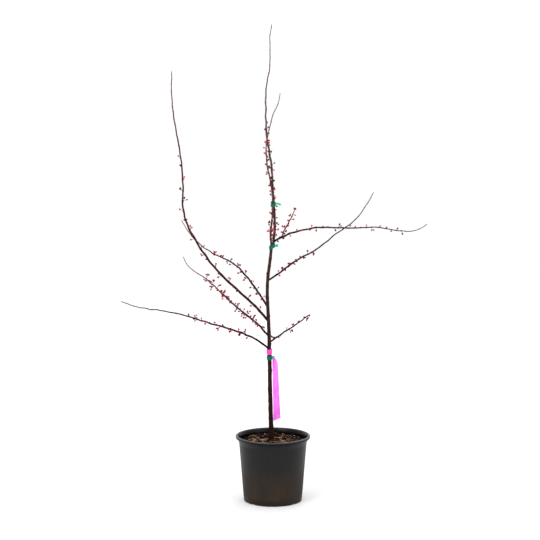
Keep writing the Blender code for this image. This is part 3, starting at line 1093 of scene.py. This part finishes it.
CHIPS = (
    (srgb(5, 4, 3), 12),
    (srgb(13, 8, 6), 10),
    (srgb(28, 17, 12), 6),
    (srgb(56, 33, 22), 3),
    (srgb(104, 52, 28), 1.6),
    (srgb(146, 70, 42), 0.7),
    (srgb(158, 118, 80), 1.1),
    (srgb(150, 92, 76), 0.6),
)
CRUMBS = ((-0.051, 0.066), (0.081, 0.084), (0.034, -0.052), (-0.074, -0.031))  # the largest perlite


def scattered(rng, reach, level):
    """A random place on the mix's surface."""
    a, r = rng.uniform(0, math.tau), reach * math.sqrt(rng.random())
    x, y = r * math.cos(a), r * math.sin(a)
    return Vector((x, y, level + mound(x, y)))


def make_litter(rng, level, reach):
    """Bark chips in several browns, white perlite and dry curled fibres on the mix."""
    chips, grains, fibres = Pile(), Pile(), Pile()
    weights = [weight for _, weight in CHIPS]
    for _ in range(CHIP_COUNT):
        size = rng.uniform(0.0015, 0.0065) * rng.uniform(0.6, 1.25)
        place = scattered(rng, reach - size, level) + UP * size * rng.uniform(-0.1, 0.35)
        tilt = Vector((rng.gauss(0, 0.35), rng.gauss(0, 0.35), 1)).normalized()
        stand = aimed(place, tilt, rng.uniform(0, math.tau), size)
        stretch = Matrix.Diagonal((rng.uniform(0.9, 1.9), rng.uniform(0.5, 0.9), rng.uniform(0.5, 1.1), 1))
        tint = rng.choices(range(len(CHIPS)), weights)[0]
        chips.add(chip_shape(rng), stand @ stretch, tint)
    for _ in range(GRAIN_COUNT):
        size = rng.uniform(0.0009, 0.0021)
        place = scattered(rng, reach - size, level) + UP * size * rng.uniform(0.2, 0.9)
        way = Vector((rng.gauss(0, 1), rng.gauss(0, 1), 1)).normalized()
        grains.add(chip_shape(rng), aimed(place, way, 0, size))
    for x, y in CRUMBS:
        place = Vector((x, y, level + mound(x, y) + 0.001))
        grains.add(chip_shape(rng), aimed(place, UP, 0, CRUMB_SIZE))
    for _ in range(FIBRE_COUNT):
        fibres.add(fibre(rng, level, reach), Matrix.Identity(4), rng.randint(0, 1))
    browns = [plain_material(f"chip_{i}", colour, 0.85, 0.12) for i, (colour, _) in enumerate(CHIPS)]
    chips.build("bark_chips", browns, "bark_mix", sharp=25)
    grains.build("perlite", [plain_material("perlite", srgb(226, 222, 212), 0.9, 0.3)], "perlite", sharp=25)
    straws = [
        plain_material("fibre_straw", srgb(196, 166, 122), 0.7),
        plain_material("fibre_tan", srgb(150, 104, 70), 0.75),
    ]
    fibres.build("dry_fibres", straws, "dry_fibre")


def fibre(rng, level, reach):
    """A dry fibre that lies in a loose curl, mostly to the right of the trunk."""
    right = rng.random() < 0.7
    span = (0.01, 0.085) if right else (-0.08, -0.02)
    place = Vector((rng.uniform(*span), rng.uniform(-0.06, 0.06), 0))
    heading = rng.uniform(0, math.tau)
    length = rng.uniform(0.018, 0.050)
    turn = rng.uniform(-1, 1) * 70
    rise = rng.uniform(0.001, 0.006)
    line = []
    steps = 14
    for i in range(steps + 1):
        t = i / steps
        if math.hypot(place.x, place.y) > reach - 0.004:
            break
        height = level + mound(place.x, place.y) + 0.0016 + rise * math.sin(math.pi * t)
        line.append((place.x, place.y, height))
        heading += turn * length / steps
        place = place + Vector((math.cos(heading), math.sin(heading), 0)) * length / steps
    thick = rng.uniform(0.0006, 0.0014)
    radii = [thick * (1 - 0.6 * i / len(line)) for i in range(len(line))]
    return tube(line, radii, 7)


# --- Ties and ribbon -------------------------------------------------------------------------


def strip(rows, thickness):
    """A closed thin strip of tape along rows of (left edge, right edge, outward direction)."""
    verts = []
    for skin in (thickness, 0):
        for left, right, out in rows:
            for j in range(TAPE_COLUMNS):
                verts.append(tuple(left.lerp(right, j / (TAPE_COLUMNS - 1)) + out * skin))
    return np.array(verts), [face[::-1] for face in sheet_faces(len(rows), TAPE_COLUMNS)]


class Wrap(NamedTuple):
    """A tape wound in several turns round what stands inside its CAD band."""

    node: str
    turns: float
    width: float
    slant: float
    wrinkle: float
    spill: float = 0.0  # how far the top turn rides up over the band


def wound(wrap, rng):
    """Rows of a strip that winds up its CAD band, each turn over the last, creased and uneven."""
    low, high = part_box(wrap.node)
    middle = (low + high) / 2
    half_x, half_y = (high.x - low.x) / 2, (high.y - low.y) / 2
    climb = (high.z - low.z) - wrap.width - abs(wrap.slant) * 2 * half_x + wrap.spill
    middle.z += wrap.spill / 2
    creases = waves(rng, 10, (3, 11), (0.004, 0.012))
    steps = int(BAND_SIDES * wrap.turns)
    rows = []
    for i in range(steps + 1):
        turn = i / steps
        a = math.tau * wrap.turns * turn + BAND_START
        way = Vector((math.cos(a), math.sin(a), 0))
        layer = -0.0010 + 0.0009 * turn
        radius_x = half_x + layer
        radius_y = half_y + layer
        height = middle.z - climb / 2 + climb * turn + wrap.slant * way.x * half_x
        edges = []
        for side in (-0.5, 0.5):
            z = height + side * wrap.width
            crease = wrap.wrinkle * float(ripple(creases, a, z))
            x = middle.x + way.x * (radius_x + crease)
            y = middle.y + way.y * (radius_y + crease)
            edges.append(Vector((x, y, z)))
        rows.append((edges[0], edges[1], way))
    return rows


def tail_rows(start, way, length, wide, droop):
    """Rows of a loose end of tape that sticks out and droops."""
    rows = []
    place = start
    steps = 12
    for i in range(steps + 1):
        t = i / steps
        heading = (way - UP * droop * t * t).normalized()
        across = heading.cross(Vector((0, 1, 0))).normalized()
        half = wide * (0.3 + 0.7 * min(1, t * 2.5)) / 2
        rows.append((place - across * half, place + across * half, Vector((0, -1, 0))))
        place = place + heading * length / steps
    return rows


def make_ties(rng):
    green = tape_material("tie_green", srgb(0, 78, 58), srgb(0, 118, 88), 0.4, 4)
    mint = tape_material("tie_mint", srgb(0, 168, 124), srgb(0, 210, 160), 0.4, 4)
    for wrap, tail_length, wide, droop in (
        (Wrap("tie_upper", 3.6, 0.0085, 0.25, 0.0005), 0.022, 0.0072, 1.6),
        (Wrap("tie_middle", 3.6, 0.0100, 0.45, 0.0005), 0.014, 0.0105, 0.3),
        (Wrap("tie_lower", 3.6, 0.0100, 0.05, 0.0005), 0.012, 0.0080, 0.2),
    ):
        verts, faces = strip(wound(wrap, rng), TAPE_THICKNESS)
        add_piece(wrap.node + "_tape", verts, faces, [green], "tie_tape", replaces=(wrap.node,))
        low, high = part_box(wrap.node)
        start = Vector((high.x - 0.002, (low.y + high.y) / 2 - 0.002, low.z + (high.z - low.z) * 0.6))
        loose = tail_rows(start, END_HEADING, tail_length, wide, droop)
        verts, faces = strip(loose, TAPE_THICKNESS)
        add_piece(wrap.node + "_end", verts, faces, [mint], "tie_tape")


def make_ribbon(rng):
    """The pink marker ribbon: its band round the trunk, and the tail that hangs beside it."""
    deep = tape_material("ribbon_band_pink", srgb(238, 50, 166), srgb(252, 92, 204), 0.35, 4)
    band = Wrap("ribbon_band", 3.4, 0.0125, 0.0, 0.0009, 0.0045)
    verts, faces = strip(wound(band, rng), TAPE_THICKNESS)
    add_piece("ribbon_band_wraps", verts, faces, [deep], "marker_ribbon", replaces=("ribbon_band",))

    pale = tape_material("ribbon_tail_pink", srgb(238, 92, 222), srgb(252, 140, 242), 0.4, 0.12)
    verts, faces = tail_sheet()
    add_piece("ribbon_tail_sheet", verts, faces, [pale], "marker_ribbon", replaces=("ribbon_tail",))


def tail_sheet():
    """The ribbon's thin tail: pleated where it is gathered, its edges curled, its end cut aslant."""
    low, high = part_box("ribbon_tail")
    rows, columns = TAIL_ROWS, TAIL_COLUMNS
    verts = []
    for skin in (0.0, TAIL_SKIN):
        for i in range(rows):
            t = i / (rows - 1)
            opened = min(1, t / 0.12)
            opened *= opened * (3 - 2 * opened)
            tucked = max(0, 1 - t / 0.05) ** 2
            left = low.x + 0.0040 * t - 0.0045 * tucked
            width = 0.009 + 0.0095 * opened + 0.0085 * t
            sway = 0.0014 * math.sin(math.tau * 1.3 * t) + 0.0006 * math.sin(math.tau * 3.4 * t + 1)
            for j in range(columns):
                c = j / (columns - 1)
                pleat = 0.0015 * math.exp(-t * 5) * math.sin(math.tau * 2.6 * c + 2 * t)
                pleat += 0.0004 * math.sin(math.tau * (1.5 * c + 2.2 * t))
                curl = -0.0016 * (abs(2 * c - 1) ** 5) * (0.4 + 0.6 * math.sin(5 * t + 4 * c) ** 2)
                z = high.z - (high.z - low.z) * t + 0.012 * c * max(0, (t - 0.85) / 0.15)
                y = (low.y + high.y) / 2 + sway + pleat + curl + skin
                verts.append((left + width * c, y, z))
    return np.array(verts), [face[::-1] for face in sheet_faces(rows, columns)]


# --- Stage -----------------------------------------------------------------------------------


def make_stage():
    """A plain white floor, soft light from all round, and the camera."""
    mesh = bpy.data.meshes.new("floor")
    corners = [(x * FLOOR_REACH, y * FLOOR_REACH, 0) for x, y in ((-1, -1), (1, -1), (1, 1), (-1, 1))]
    mesh.from_pydata(corners, [], [(0, 1, 2, 3)])
    floor = bpy.data.objects.new("floor", mesh)
    bpy.context.scene.collection.objects.link(floor)
    mesh.materials.append(plain_material("floor_white", (0.9, 0.9, 0.9), 0.9, 0.1))

    world = bpy.data.worlds.new("studio")
    bpy.context.scene.world = world
    world.use_nodes = True
    sky = world.node_tree.nodes["Background"]
    sky.inputs["Color"].default_value = (1, 1, 1, 1)
    sky.inputs["Strength"].default_value = SKY_STRENGTH

    for name, place, size, power in (
        ("key", (-2.6, -3.4, 4.2), 2.6, 90),
        ("fill", (3.4, -3.0, 2.4), 3.0, 30),
        ("back", (0.8, 3.6, 3.6), 2.4, 40),
    ):
        light = bpy.data.lights.new(name, "AREA")
        light.energy = power
        light.size = size
        lamp = bpy.data.objects.new(name, light)
        lamp.location = place
        lamp.rotation_euler = (Vector((0, 0, 0.7)) - lamp.location).to_track_quat("-Z", "Y").to_euler()
        bpy.context.scene.collection.objects.link(lamp)

    view = bpy.data.cameras.new("camera")
    view.lens = CAMERA_LENS
    view.sensor_width = 36
    camera = bpy.data.objects.new("camera", view)
    camera.location = (CAMERA_AIM.x, -CAMERA_DISTANCE, CAMERA_HEIGHT)
    camera.rotation_euler = (CAMERA_AIM - camera.location).to_track_quat("-Z", "Y").to_euler()
    bpy.context.scene.collection.objects.link(camera)
    bpy.context.scene.camera = camera
    bpy.context.scene.view_settings.view_transform = "Standard"


def main():
    make_tree()
    make_pot()
    rng = random.Random(SEED + 1)
    level, reach = make_mix(rng)
    make_litter(rng, level, reach)
    make_ties(random.Random(SEED + 2))
    make_ribbon(random.Random(SEED + 3))
    make_stage()


main()
